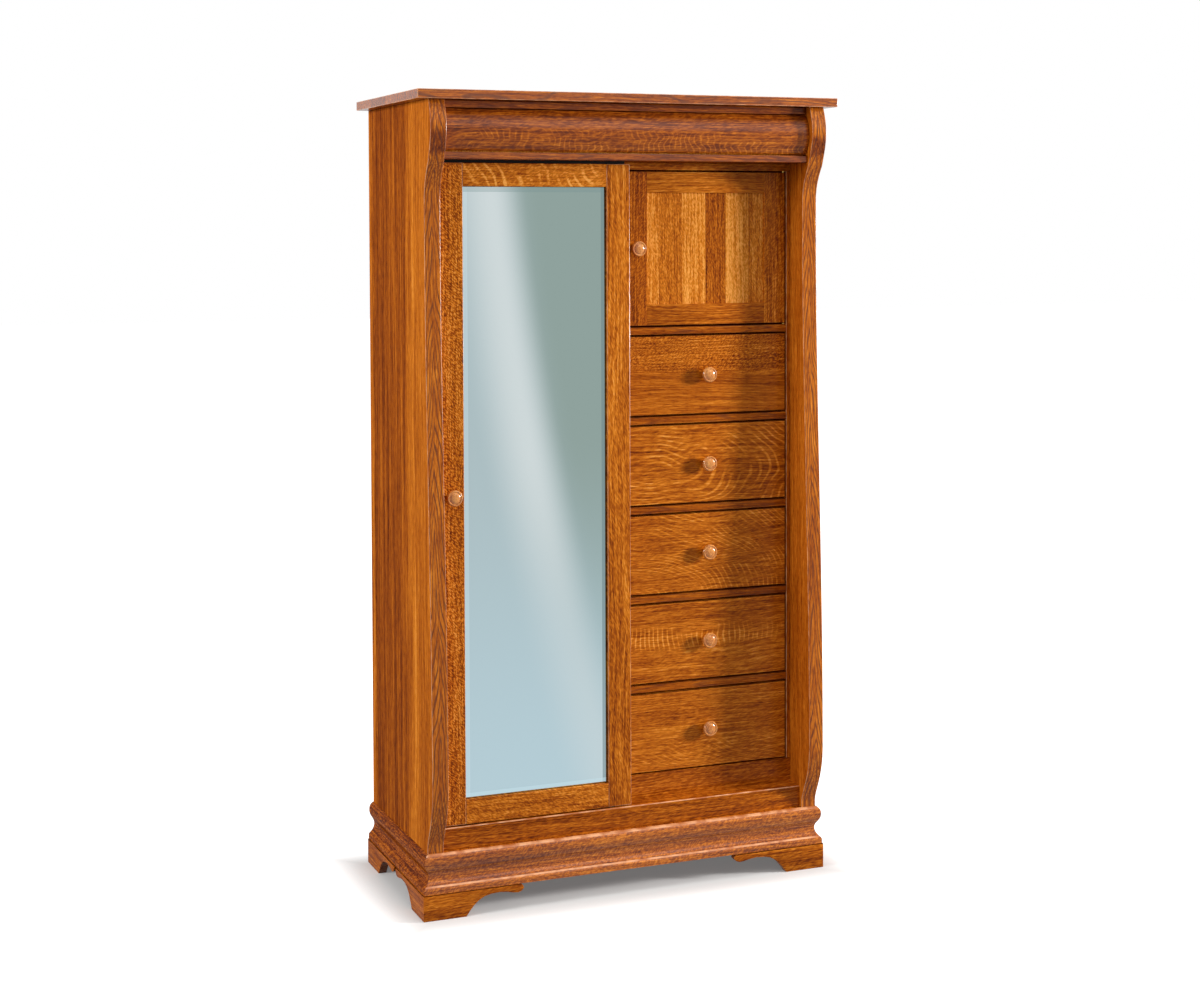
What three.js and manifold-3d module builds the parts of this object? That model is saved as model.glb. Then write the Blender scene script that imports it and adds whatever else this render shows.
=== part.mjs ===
// Chifforobe with a sliding mirror door, built as an assembly of its separate pieces.
// Millimetres, +Z up, front towards -Y. The origin is on the floor, in the middle of the footprint.
import * as THREE from 'three';
import { mergeVertices } from 'three/addons/utils/BufferGeometryUtils.js';
import Module from 'manifold-3d';

const wasm = await Module();
wasm.setup();

// Driving dimensions of the whole cabinet
const overallHeight = 1905;
const topWidth = 1066;
const topDepth = 520;
const topThickness = 21.5;
const caseWidth = 1006;

// Clearances that the whole cabinet shares
const glueLine = 0.3;
const cutOverrun = 2;
const reveal = 3;

// Places in depth, as distances behind the front edge of the top
const faceSetback = 119;
const sillSetback = 69.5;
const doorSetback = 72.5;
const crownSillSetback = 27;
const crownRailSetback = 34;
const bolsterSetback = 34;
const postFootSetback = 58.5;

// Boards of the case
const sideThickness = 19;
const backThickness = 9;
const backInset = 3;
const faceThickness = 19;
const bottomThickness = 18;
const dividerThickness = 19;
const dividerRearGap = 39;
const partitionThickness = 22;
const crownRailHeight = 18;
const crownRailDepth = 40;
const deckThickness = 16.6;
const crownHeight = 134.5;
const faceTopRailHeight = 18.5;
const bottomRailReveal = 58.9;
const sillRise = 51.4;
const bayWidth = 437.5;
const bayStileReveal = 11.5;

// Front posts, shaped like the end of a sleigh
const postWidth = 38;
const postTopSetback = 17;
const noseUpperSetback = -5;
const noseLowerSetback = -4.5;
const creaseSetback = 23;
const coveSetback = 38;
const waistSetback = 54;
const kneeSetback = 17.5;
const ankleSetback = 56;
const creaseDrop = 8;
const noseHandleShares = [0.375, 0.53];
const coveHandleShares = [0.014, 0.03];
const waistTopShare = 0.052;
const waistBottomShare = 0.115;
const sweepHandleShares = [0.34, 0.62];
const kneeShare = 0.9;
const ankleHandleShares = [0.948, 0.973];
const postFootShare = 0.991;
const sweepSteps = 12;
const curveSteps = 8;

// Base moulding and bracket feet
const mouldingHeight = 92;
const mouldingProjection = 12.6;
const baseBoardThickness = 22;
const footHeight = 59.5;
const footProjection = 15.1;
const footThickness = 20;
const frontBladeLength = 246;
const sideFootGap = 12.6;
const rearBladeLength = 110;

// Sliding mirror door
const doorWidth = 475.5;
const doorThickness = 19;
const doorSideGap = 1.5;
const doorGapBelow = 3.2;
const doorGapAbove = 7;
const doorStileWidth = 58.5;
const doorTopRailHeight = 54;
const doorBottomRailHeight = 57.5;
const rabbetWidth = 8;
const rabbetDepth = 12;
const mirrorThickness = 10;
const mirrorEdgeDrop = 2.5;
const mirrorBevelWidth = 20.5;
const guideThickness = 6;
const guideSlotWidth = 10;
const guideEntry = 9;
const guideEndInset = 10;
const glideLength = 60;
const glideWidth = 12;
const glideEndInset = 40;

// Small panel door over the drawers, which share the height that it leaves
const smallDoorHeight = 373.6;
const smallDoorThickness = 20;
const smallStileWidth = 58;
const smallRailHeight = 51.5;
const panelThickness = 8;
const panelRecess = 6;
const panelTongue = 8;
const pivotEdgeDistance = 3;
const pivotFaceDistance = 4;
const pivotRadius = 2;
const pivotWasherRadius = 3.6;
const pivotWasherThickness = 1.6;
const pivotDepthInDoor = 12;
const pivotDepthInRail = 10;

// Drawers
const drawerCount = 5;
const drawerFrontThickness = 19;
const boxTopDrop = 30;
const boxRearGap = 19;
const boxSideClearance = 2;
const boxRunClearance = 0.5;
const boxWall = 12;
const boxFloor = 6;
const bolsterSagitta = 16.5;
const bolsterBackThickness = 12;
const bolsterGapAbove = 2;
const crownBoxTopDrop = 21;
const crownBoxRearGap = 80;
const crownBoxClearance = 3;

// Turned knobs
const knobRadius = 19;
const knobProjection = 24.5;
const knobSegments = 24;

// Fittings of the hanging space
const shelfThickness = 18;
const shelfDrop = 245;
const shelfFrontGap = 49;
const rodRadius = 16;
const rodDrop = 75;
const rodSegments = 24;

// Materials
const oak = () => new THREE.MeshStandardMaterial({ color: 0xa9601f, roughness: 0.38, metalness: 0 });
const darkOak = () => new THREE.MeshStandardMaterial({ color: 0x8a4a18, roughness: 0.42, metalness: 0 });
const paleOak = () => new THREE.MeshStandardMaterial({ color: 0xc9a06a, roughness: 0.6, metalness: 0 });
const knobOak = () => new THREE.MeshStandardMaterial({ color: 0xb4622a, roughness: 0.3, metalness: 0 });
const mirrorGlass = () => new THREE.MeshStandardMaterial({ color: 0xaec3c6, roughness: 0.05, metalness: 1 });
const nylon = () => new THREE.MeshStandardMaterial({ color: 0x2b2623, roughness: 0.5, metalness: 0 });
const brass = () => new THREE.MeshStandardMaterial({ color: 0xb08d4a, roughness: 0.35, metalness: 1 });

// Planes that the pieces share
const behindFront = (setback) => setback - topDepth / 2;
const rearFace = topDepth / 2;
const facePlane = behindFront(faceSetback);
const caseHalf = caseWidth / 2;
const postInner = caseHalf - postWidth;
const sideInner = caseHalf - sideThickness;
const topUnderside = overallHeight - topThickness;
const caseTop = topUnderside - glueLine;
const baseTop = footHeight + glueLine + mouldingHeight;
const caseBottom = baseTop + glueLine;
const deckBottom = topUnderside - crownHeight;
const deckTop = deckBottom + deckThickness;
const sillTop = caseBottom + sillRise;
const openingBottom = sillTop + bottomRailReveal;
const openingTop = deckBottom - faceTopRailHeight;
const backFront = rearFace - backInset - backThickness;
const insideRear = backFront - glueLine;
const bayRight = postInner - bayStileReveal;
const bayLeft = bayRight - bayWidth;
const drawerPitch = (openingTop - openingBottom - smallDoorHeight - 2 * reveal) / drawerCount;
const drawerFrontHeight = drawerPitch - 2 * reveal - dividerThickness;

const group = new THREE.Group();

function addPiece(name, geometry, material) {
  const mesh = new THREE.Mesh(geometry, material);
  mesh.name = name;
  group.add(mesh);
  return mesh;
}

// A plain board between two corners
function board(x, y, z) {
  const geometry = new THREE.BoxGeometry(x[1] - x[0], y[1] - y[0], z[1] - z[0]);
  geometry.translate((x[0] + x[1]) / 2, (y[0] + y[1]) / 2, (z[0] + z[1]) / 2);
  return geometry;
}

function extrusion(points, length) {
  const outline = new THREE.Shape(points.map((point) => new THREE.Vector2(point[0], point[1])));
  return new THREE.ExtrudeGeometry(outline, { depth: length, bevelEnabled: false });
}

// A section in Y and Z that runs along X
function alongX(points, x) {
  const geometry = extrusion(points, x[1] - x[0]);
  const turn = new THREE.Matrix4().makeBasis(
    new THREE.Vector3(0, 1, 0),
    new THREE.Vector3(0, 0, 1),
    new THREE.Vector3(1, 0, 0),
  );
  geometry.applyMatrix4(turn);
  geometry.translate(x[0], 0, 0);
  return geometry;
}

// An outline in X and Z that runs along Y
function alongY(points, y) {
  const geometry = extrusion(points, y[1] - y[0]);
  const turn = new THREE.Matrix4().makeBasis(
    new THREE.Vector3(1, 0, 0),
    new THREE.Vector3(0, 0, 1),
    new THREE.Vector3(0, -1, 0),
  );
  geometry.applyMatrix4(turn);
  geometry.translate(0, y[1], 0);
  return geometry;
}

// An outline in X and Y that runs up
function alongZ(points, z) {
  const geometry = extrusion(points, z[1] - z[0]);
  geometry.translate(0, 0, z[0]);
  return geometry;
}

function toSolid(geometry) {
  const plain = geometry.index ? geometry.toNonIndexed() : geometry.clone();
  plain.deleteAttribute('normal');
  plain.deleteAttribute('uv');
  const merged = mergeVertices(plain);
  const vertProperties = new Float32Array(merged.attributes.position.array);
  const triVerts = new Uint32Array(merged.index.array);
  return new wasm.Manifold(new wasm.Mesh({ numProp: 3, vertProperties, triVerts }));
}

function toGeometry(solid) {
  const mesh = solid.getMesh();
  const geometry = new THREE.BufferGeometry();
  geometry.setAttribute('position', new THREE.BufferAttribute(new Float32Array(mesh.vertProperties), 3));
  geometry.setIndex(new THREE.BufferAttribute(new Uint32Array(mesh.triVerts), 1));
  geometry.computeVertexNormals();
  return geometry;
}

function cut(geometry, ...cutters) {
  return toGeometry(cutters.reduce((solid, cutter) => solid.subtract(toSolid(cutter)), toSolid(geometry)));
}

function join(first, second) {
  return toGeometry(toSolid(first).add(toSolid(second)));
}

// An upright round pin or hole on the line through x and y
function uprightRod(x, y, z, radius, segments) {
  const geometry = new THREE.CylinderGeometry(radius, radius, z[1] - z[0], segments);
  geometry.rotateX(Math.PI / 2);
  geometry.translate(x, y, (z[0] + z[1]) / 2);
  return geometry;
}

function curvePoints(a, b, c, d, steps) {
  const vectors = [a, b, c, d].map((point) => new THREE.Vector2(point[0], point[1]));
  return new THREE.CubicBezierCurve(...vectors).getPoints(steps).map((point) => [point.x, point.y]);
}

// Top board, flush at the rear and overhanging at the front and sides
addPiece(
  'top_board',
  board([-topWidth / 2, topWidth / 2], [-topDepth / 2, rearFace], [topUnderside, overallHeight]),
  oak(),
);

// Front posts: crown bulge, sharp crease, cove, waist and a long sweep to the knee over the base
function postProfile() {
  const creaseHeight = deckBottom - creaseDrop;
  const bodyHeight = creaseHeight - caseBottom;
  const below = (share) => creaseHeight - share * bodyHeight;
  const crown = caseTop - creaseHeight;
  const at = (setback, height) => [behindFront(setback), height];
  const nose = curvePoints(
    at(postTopSetback, caseTop),
    at(noseUpperSetback, caseTop - noseHandleShares[0] * crown),
    at(noseLowerSetback, caseTop - noseHandleShares[1] * crown),
    at(creaseSetback, creaseHeight),
    curveSteps,
  );
  const cove = curvePoints(
    at(creaseSetback, creaseHeight),
    at(coveSetback, below(coveHandleShares[0])),
    at(waistSetback, below(coveHandleShares[1])),
    at(waistSetback, below(waistTopShare)),
    curveSteps,
  );
  const sweep = curvePoints(
    at(waistSetback, below(waistBottomShare)),
    at(waistSetback, below(sweepHandleShares[0])),
    at(kneeSetback, below(sweepHandleShares[1])),
    at(kneeSetback, below(kneeShare)),
    sweepSteps,
  );
  const ankle = curvePoints(
    at(kneeSetback, below(kneeShare)),
    at(kneeSetback, below(ankleHandleShares[0])),
    at(ankleSetback, below(ankleHandleShares[1])),
    at(postFootSetback, below(postFootShare)),
    curveSteps,
  );
  const rear = facePlane - glueLine;
  return [
    ...nose,
    ...cove.slice(1),
    ...sweep,
    ...ankle.slice(1),
    at(postFootSetback, caseBottom),
    [rear, caseBottom],
    [rear, caseTop],
  ];
}

const postSection = postProfile();
addPiece('left_post', alongX(postSection, [-caseHalf, -postInner]), oak());
addPiece('right_post', alongX(postSection, [postInner, caseHalf]), oak());

// Side panels stand behind the posts and run to the rear
const sideDepth = [facePlane, rearFace];
const caseRise = [caseBottom, caseTop];
addPiece('left_side_panel', board([-caseHalf, -sideInner], sideDepth, caseRise), oak());
addPiece('right_side_panel', board([sideInner, caseHalf], sideDepth, caseRise), oak());

// Back panel between the sides
const betweenSides = [-sideInner + glueLine, sideInner - glueLine];
const betweenPosts = [-postInner + glueLine, postInner - glueLine];
addPiece('back_panel', board(betweenSides, [backFront, backFront + backThickness], caseRise), darkOak());

// Crown: a rail under the top, and a sill with a deck behind it that carries the hidden drawer.
// The slot between the sill and the deck guides the sliding door.
const doorFront = behindFront(doorSetback);
const doorBack = doorFront + doorThickness;
const slotMiddle = (doorFront + doorBack) / 2;
const slotFront = slotMiddle - guideSlotWidth / 2;
const slotBack = slotMiddle + guideSlotWidth / 2;
const crownRailFront = behindFront(crownRailSetback);
const crownRailBottom = topUnderside - crownRailHeight;
addPiece(
  'crown_top_rail',
  board(betweenPosts, [crownRailFront, crownRailFront + crownRailDepth], [crownRailBottom, caseTop]),
  oak(),
);
const deckRise = [deckBottom, deckTop];
addPiece('crown_sill', board(betweenPosts, [behindFront(crownSillSetback), slotFront], deckRise), oak());

const deckOutline = [
  [betweenPosts[0], slotBack],
  [betweenPosts[1], slotBack],
  [betweenPosts[1], facePlane],
  [betweenSides[1], facePlane],
  [betweenSides[1], insideRear],
  [betweenSides[0], insideRear],
  [betweenSides[0], facePlane],
  [betweenPosts[0], facePlane],
];
addPiece('crown_deck', alongZ(deckOutline, deckRise), darkOak());

// Face frame rails, and the ledge in front of the lower one that the sliding door runs on
const faceBack = facePlane + faceThickness;
const pivotX = bayRight - reveal - pivotEdgeDistance;
const pivotY = facePlane + pivotFaceDistance;
const pivotHoleRadius = pivotRadius + glueLine;
const pivotHoleDepth = pivotDepthInRail + glueLine;
const upperHole = uprightRod(
  pivotX,
  pivotY,
  [openingTop - cutOverrun, openingTop + pivotHoleDepth],
  pivotHoleRadius,
  knobSegments,
);
addPiece(
  'face_top_rail',
  cut(board(betweenSides, [facePlane, faceBack], [openingTop, deckBottom - glueLine]), upperHole),
  oak(),
);
addPiece('face_bottom_rail', board(betweenSides, [facePlane, faceBack], [caseBottom, openingBottom]), oak());
addPiece(
  'door_sill',
  board(betweenPosts, [behindFront(sillSetback), facePlane - glueLine], [caseBottom, sillTop]),
  oak(),
);
addPiece(
  'bottom_board',
  board(betweenSides, [faceBack + glueLine, insideRear], [openingBottom - bottomThickness, openingBottom]),
  darkOak(),
);

// Two upright walls stand on the bottom board and are notched round the face rail above them
const wallOutline = [
  [facePlane, openingBottom + glueLine],
  [insideRear, openingBottom + glueLine],
  [insideRear, deckBottom - glueLine],
  [faceBack + glueLine, deckBottom - glueLine],
  [faceBack + glueLine, openingTop - glueLine],
  [facePlane, openingTop - glueLine],
];
addPiece('centre_partition', alongX(wallOutline, [bayLeft - partitionThickness, bayLeft]), oak());
addPiece('drawer_bay_side', alongX(wallOutline, [bayRight, sideInner - glueLine]), oak());

// Dividers between the drawers are whole boards, and their front edges show
const bayInside = [bayLeft + glueLine, bayRight - glueLine];
const dividerTop = (index) => openingBottom + index * drawerPitch;
for (let index = 1; index <= drawerCount; index += 1) {
  const rise = [dividerTop(index) - dividerThickness, dividerTop(index)];
  const plain = board(bayInside, [facePlane, insideRear - dividerRearGap], rise);
  const lowerHole = uprightRod(
    pivotX,
    pivotY,
    [rise[1] - pivotHoleDepth, rise[1] + cutOverrun],
    pivotHoleRadius,
    knobSegments,
  );
  const carriesDoor = index === drawerCount;
  addPiece(`drawer_divider_${drawerCount + 1 - index}`, carriesDoor ? cut(plain, lowerHole) : plain, oak());
}

// Hanging space behind the mirror door: a hat shelf and a clothes rod between side and partition
const closetWidth = [-sideInner + glueLine, bayLeft - partitionThickness - glueLine];
const shelfTop = openingTop - shelfDrop;
const shelfBottom = shelfTop - shelfThickness;
addPiece(
  'closet_shelf',
  board(closetWidth, [facePlane + shelfFrontGap, insideRear], [shelfBottom, shelfTop]),
  oak(),
);

const rodLength = closetWidth[1] - closetWidth[0];
const rodMiddle = (closetWidth[0] + closetWidth[1]) / 2;
const rodGeometry = new THREE.CylinderGeometry(rodRadius, rodRadius, rodLength, rodSegments);
rodGeometry.rotateZ(Math.PI / 2);
rodGeometry.translate(rodMiddle, (faceBack + insideRear) / 2, shelfBottom - rodDrop);
addPiece('closet_rod', rodGeometry, paleOak());

// Base moulding: a bead over a cove over a fillet, mitred at the front corners.
// Each pair gives the projection and the height as shares of the moulding's own sizes.
const mouldingShares = [
  [0, 1],
  [0.3, 0.983],
  [0.56, 0.948],
  [0.76, 0.905],
  [0.86, 0.85],
  [0.88, 0.78],
  [0.8, 0.71],
  [0.62, 0.645],
  [0.36, 0.585],
  [0.08, 0.525],
  [-0.1, 0.455],
  [-0.12, 0.38],
  [0.02, 0.305],
  [0.24, 0.25],
  [0.54, 0.2],
  [0.82, 0.165],
  [0.97, 0.135],
  [1, 0.115],
  [1, 0],
];
const baseBottom = footHeight + glueLine;
const baseFront = behindFront(postFootSetback);
const mitreGap = glueLine;

function mouldingOutline() {
  const place = ([out, up]) => [out * mouldingProjection, baseBottom + up * mouldingHeight];
  return [...mouldingShares.map(place), [-baseBoardThickness, baseBottom], [-baseBoardThickness, baseTop]];
}

// The section is drawn as distance out from the case and height. Each end vertex slides along
// the run by as much as it stands out, which cuts the mitre.
function frontMoulding() {
  const section = mouldingOutline().map(([out, up]) => [baseFront - out, up]);
  const geometry = alongX(section.reverse(), [-caseHalf, caseHalf]);
  const position = geometry.attributes.position;
  for (let i = 0; i < position.count; i += 1) {
    const out = baseFront - position.getY(i);
    const reach = caseHalf + out - mitreGap;
    position.setX(i, Math.sign(position.getX(i)) * reach);
  }
  return geometry;
}

function sideMoulding(side) {
  const section = mouldingOutline().map(([out, up]) => [side * (caseHalf + out), up]);
  const ordered = side > 0 ? section.reverse() : section;
  const geometry = alongY(ordered, [baseFront, rearFace]);
  const position = geometry.attributes.position;
  const middle = (baseFront + rearFace) / 2;
  for (let i = 0; i < position.count; i += 1) {
    const out = side * position.getX(i) - caseHalf;
    if (position.getY(i) < middle) position.setY(i, baseFront - out + mitreGap);
  }
  return geometry;
}

addPiece('base_front_moulding', frontMoulding(), oak());
addPiece('base_left_moulding', sideMoulding(-1), oak());
addPiece('base_right_moulding', sideMoulding(1), oak());

// Bracket feet: two blades that meet at the corner, each with an ogee cut and a scroll tip.
// Each pair gives the distance from the corner and the height as shares of the blade.
const bladeShares = [
  [0, 0],
  [0.42, 0],
  [0.455, 0.2],
  [0.5, 0.42],
  [0.545, 0.58],
  [0.6, 0.7],
  [0.67, 0.765],
  [0.755, 0.785],
  [0.83, 0.75],
  [0.89, 0.695],
  [0.94, 0.68],
  [0.975, 0.73],
  [0.995, 0.83],
  [0.99, 0.93],
  [0.965, 1],
  [0, 1],
];
const plainBladeShares = [
  [0, 0],
  [0.8, 0],
  [1, 0.6],
  [1, 1],
  [0, 1],
];

function bladeOutline(shares, corner, direction, length) {
  const points = shares.map(([along, up]) => [corner + direction * along * length, up * footHeight]);
  return direction > 0 ? points : points.reverse();
}

const footHalf = caseHalf + footProjection;
const footFront = baseFront - footProjection;
const sideBladeLength = (rearFace - footFront - sideFootGap) / 2;
for (const [label, side] of [['left', -1], ['right', 1]]) {
  const across = side > 0 ? [footHalf - footThickness, footHalf] : [-footHalf, -footHalf + footThickness];
  const frontBlade = alongY(
    bladeOutline(bladeShares, side * footHalf, -side, frontBladeLength),
    [footFront, footFront + footThickness],
  );
  const frontSideBlade = alongX(bladeOutline(bladeShares, footFront, 1, sideBladeLength), across);
  addPiece(`front_${label}_foot`, join(frontBlade, frontSideBlade), oak());

  const rearSideBlade = alongX(bladeOutline(bladeShares, rearFace, -1, sideBladeLength), across);
  const rearBlade = alongY(
    bladeOutline(plainBladeShares, side * footHalf, -side, rearBladeLength),
    [rearFace - footThickness, rearFace],
  );
  addPiece(`rear_${label}_foot`, join(rearBlade, rearSideBlade), oak());
}

// Turned knob, drawn from its seat to its face as shares of its radius and projection
const knobShares = [
  [0, 0],
  [0.5, 0],
  [0.46, 0.1],
  [0.4, 0.3],
  [0.44, 0.42],
  [0.7, 0.5],
  [0.93, 0.58],
  [1, 0.7],
  [0.97, 0.82],
  [0.84, 0.93],
  [0.62, 0.98],
  [0.3, 1],
  [0, 1],
];

function addKnob(name, x, plane, z) {
  const points = knobShares.map(([out, up]) => new THREE.Vector2(out * knobRadius, up * knobProjection));
  const mesh = addPiece(name, new THREE.LatheGeometry(points, knobSegments), knobOak());
  mesh.rotation.x = Math.PI;
  mesh.position.set(x, plane - glueLine, z);
}

// Sliding mirror door: two stiles, two rails, a bevelled mirror in a rabbet, and a knob
const doorLeft = -postInner + doorSideGap;
const doorRight = doorLeft + doorWidth;
const doorBottom = sillTop + doorGapBelow;
const doorTop = deckBottom - doorGapAbove;
const glassOpening = {
  x: [doorLeft + doorStileWidth, doorRight - doorStileWidth],
  z: [doorBottom + doorBottomRailHeight, doorTop - doorTopRailHeight],
};
const pocketX = [glassOpening.x[0] - rabbetWidth, glassOpening.x[1] + rabbetWidth];
const pocketZ = [glassOpening.z[0] - rabbetWidth, glassOpening.z[1] + rabbetWidth];
const pocket = board(pocketX, [doorBack - rabbetDepth, doorBack + cutOverrun], pocketZ);
const doorDepth = [doorFront, doorBack];
const railX = [glassOpening.x[0] + glueLine, glassOpening.x[1] - glueLine];
addPiece(
  'mirror_door_left_stile',
  cut(board([doorLeft, glassOpening.x[0]], doorDepth, [doorBottom, doorTop]), pocket),
  oak(),
);
addPiece(
  'mirror_door_right_stile',
  cut(board([glassOpening.x[1], doorRight], doorDepth, [doorBottom, doorTop]), pocket),
  oak(),
);
const doorTopRail = board(railX, doorDepth, [glassOpening.z[1], doorTop]);
const doorBottomRail = board(railX, doorDepth, [doorBottom, glassOpening.z[0]]);
addPiece('mirror_door_top_rail', cut(doorTopRail, pocket), oak());
addPiece('mirror_door_bottom_rail', cut(doorBottomRail, pocket), oak());

// The mirror, with its backing board: a plate whose front rim slopes back all round
function bevelledMirror() {
  const x = [pocketX[0] + glueLine, pocketX[1] - glueLine];
  const z = [pocketZ[0] + glueLine, pocketZ[1] - glueLine];
  const front = doorBack - rabbetDepth + glueLine;
  const plate = board(x, [front, front + mirrorThickness], z);
  const slope = (edge, inward) => [
    [edge - inward * cutOverrun, front - cutOverrun],
    [edge + inward * mirrorBevelWidth, front - cutOverrun],
    [edge + inward * mirrorBevelWidth, front],
    [edge, front + mirrorEdgeDrop],
    [edge - inward * cutOverrun, front + mirrorEdgeDrop],
  ];
  const overX = [x[0] - cutOverrun, x[1] + cutOverrun];
  const overZ = [z[0] - cutOverrun, z[1] + cutOverrun];
  const upright = (edge, inward) => {
    const points = slope(edge, inward);
    return alongZ(inward > 0 ? points : points.reverse(), overZ);
  };
  const level = (edge, inward) => {
    const points = slope(edge, inward).map(([up, back]) => [back, up]);
    return alongX(inward > 0 ? points.reverse() : points, overX);
  };
  return cut(plate, upright(x[0], 1), upright(x[1], -1), level(z[0], 1), level(z[1], -1));
}

addPiece('mirror', bevelledMirror(), mirrorGlass());
const doorKnobShare = 0.498;
const doorKnobHeight = doorBottom + doorKnobShare * (doorTop - doorBottom);
addKnob('mirror_door_knob', doorLeft + doorStileWidth / 2, doorFront, doorKnobHeight);

// A tongue on the door runs in the slot of the crown, and two glides carry it on the sill
addPiece(
  'door_top_guide',
  board(
    [doorLeft + guideEndInset, doorRight - guideEndInset],
    [slotMiddle - guideThickness / 2, slotMiddle + guideThickness / 2],
    [doorTop + glueLine, deckBottom + guideEntry],
  ),
  nylon(),
);
const glideDepth = [slotMiddle - glideWidth / 2, slotMiddle + glideWidth / 2];
const glideRise = [sillTop + glueLine, doorBottom - glueLine];
const leftGlideStart = doorLeft + glideEndInset;
const rightGlideStart = doorRight - glideEndInset - glideLength;
for (const [name, start] of [['left_door_glide', leftGlideStart], ['right_door_glide', rightGlideStart]]) {
  addPiece(name, board([start, start + glideLength], glideDepth, glideRise), nylon());
}

// Small door: a joined frame with a flat recessed panel, turning on two pivots at its right edge
const smallDoor = {
  x: [bayLeft + reveal, bayRight - reveal],
  y: [facePlane, facePlane + smallDoorThickness],
  z: [dividerTop(drawerCount) + reveal, openingTop - reveal],
};
const panelOpening = {
  x: [smallDoor.x[0] + smallStileWidth, smallDoor.x[1] - smallStileWidth],
  z: [smallDoor.z[0] + smallRailHeight, smallDoor.z[1] - smallRailHeight],
};
const panelX = [panelOpening.x[0] - panelTongue, panelOpening.x[1] + panelTongue];
const panelZ = [panelOpening.z[0] - panelTongue, panelOpening.z[1] + panelTongue];
const panelFront = facePlane + panelRecess;
const panelY = [panelFront, panelFront + panelThickness];
const widen = (range) => [range[0] - glueLine, range[1] + glueLine];
const throughOpening = board(
  panelOpening.x,
  [smallDoor.y[0] - cutOverrun, smallDoor.y[1] + cutOverrun],
  panelOpening.z,
);
const panelGroove = board(widen(panelX), widen(panelY), widen(panelZ));
const doorUpperHole = uprightRod(
  pivotX,
  pivotY,
  [smallDoor.z[1] - pivotDepthInDoor - glueLine, smallDoor.z[1] + cutOverrun],
  pivotHoleRadius,
  knobSegments,
);
const doorLowerHole = uprightRod(
  pivotX,
  pivotY,
  [smallDoor.z[0] - cutOverrun, smallDoor.z[0] + pivotDepthInDoor + glueLine],
  pivotHoleRadius,
  knobSegments,
);
const smallDoorBlank = board(smallDoor.x, smallDoor.y, smallDoor.z);
addPiece(
  'small_door_frame',
  cut(smallDoorBlank, throughOpening, panelGroove, doorUpperHole, doorLowerHole),
  oak(),
);
addPiece('small_door_panel', board(panelX, panelY, panelZ), oak());
const smallKnobShare = 0.5;
addKnob(
  'small_door_knob',
  smallDoor.x[0] + smallStileWidth / 2,
  facePlane,
  smallDoor.z[0] + smallKnobShare * (smallDoor.z[1] - smallDoor.z[0]),
);

// A pivot is a pin with a washer in the gap, half in the door and half in the frame
function addPivot(name, gapStart, direction) {
  const washerStart = (reveal - pivotWasherThickness) / 2;
  const points = [
    [0, -pivotDepthInDoor],
    [pivotRadius, -pivotDepthInDoor],
    [pivotRadius, washerStart],
    [pivotWasherRadius, washerStart],
    [pivotWasherRadius, washerStart + pivotWasherThickness],
    [pivotRadius, washerStart + pivotWasherThickness],
    [pivotRadius, reveal + pivotDepthInRail],
    [0, reveal + pivotDepthInRail],
  ].map(([out, up]) => new THREE.Vector2(out, up));
  const mesh = addPiece(name, new THREE.LatheGeometry(points, knobSegments), brass());
  mesh.rotation.x = direction * Math.PI / 2;
  mesh.position.set(pivotX, pivotY, gapStart);
}

addPivot('small_door_upper_pivot', smallDoor.z[1], 1);
addPivot('small_door_lower_pivot', smallDoor.z[0], -1);

// An open tray, the box of a drawer
function tray(x, y, z) {
  const hollow = board(
    [x[0] + boxWall, x[1] - boxWall],
    [y[0] + boxWall, y[1] - boxWall],
    [z[0] + boxFloor, z[1] + cutOverrun],
  );
  return cut(board(x, y, z), hollow);
}

// Drawers, numbered from the top. Each box slides on the board below it.
const drawerX = [bayLeft + reveal, bayRight - reveal];
const boxX = [bayLeft + boxSideClearance, bayRight - boxSideClearance];
const boxFront = facePlane + drawerFrontThickness + glueLine;
const boxY = [boxFront, insideRear - boxRearGap];
const frontY = [facePlane, facePlane + drawerFrontThickness];
for (let number = 1; number <= drawerCount; number += 1) {
  const floor = openingBottom + (drawerCount - number) * drawerPitch;
  const frontZ = [floor + reveal, floor + reveal + drawerFrontHeight];
  const boxZ = [floor + boxRunClearance, frontZ[1] - boxTopDrop];
  addPiece(`drawer_${number}_front`, board(drawerX, frontY, frontZ), oak());
  addPiece(`drawer_${number}_box`, tray(boxX, boxY, boxZ), paleOak());
  addKnob(`drawer_${number}_knob`, (drawerX[0] + drawerX[1]) / 2, facePlane, (frontZ[0] + frontZ[1]) / 2);
}

// Hidden crown drawer: its front is the rounded bolster under the top
const bolsterRise = [deckTop + reveal, crownRailBottom - bolsterGapAbove];
const bolsterBack = behindFront(bolsterSetback) + bolsterBackThickness;
function bolster() {
  const chord = behindFront(bolsterSetback);
  const [bottom, top] = bolsterRise;
  const halfHeight = (top - bottom) / 2;
  const radius = (halfHeight ** 2 + bolsterSagitta ** 2) / (2 * bolsterSagitta);
  const halfAngle = Math.asin(halfHeight / radius);
  const centreY = chord - bolsterSagitta + radius;
  const points = [];
  for (let step = 0; step <= sweepSteps; step += 1) {
    const angle = halfAngle - (2 * halfAngle * step) / sweepSteps;
    points.push([centreY - radius * Math.cos(angle), bottom + halfHeight + radius * Math.sin(angle)]);
  }
  return [...points, [bolsterBack, bottom], [bolsterBack, top]];
}

const crownDrawerX = [-postInner + doorSideGap, postInner - doorSideGap];
addPiece('crown_drawer_front', alongX(bolster(), crownDrawerX), oak());
const crownBoxX = [-postInner + crownBoxClearance, postInner - crownBoxClearance];
const crownBoxY = [bolsterBack + glueLine, insideRear - crownBoxRearGap];
const crownBoxZ = [deckTop + boxRunClearance, bolsterRise[1] - crownBoxTopDrop];
addPiece('crown_drawer_box', tray(crownBoxX, crownBoxY, crownBoxZ), paleOak());

export default group;
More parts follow.
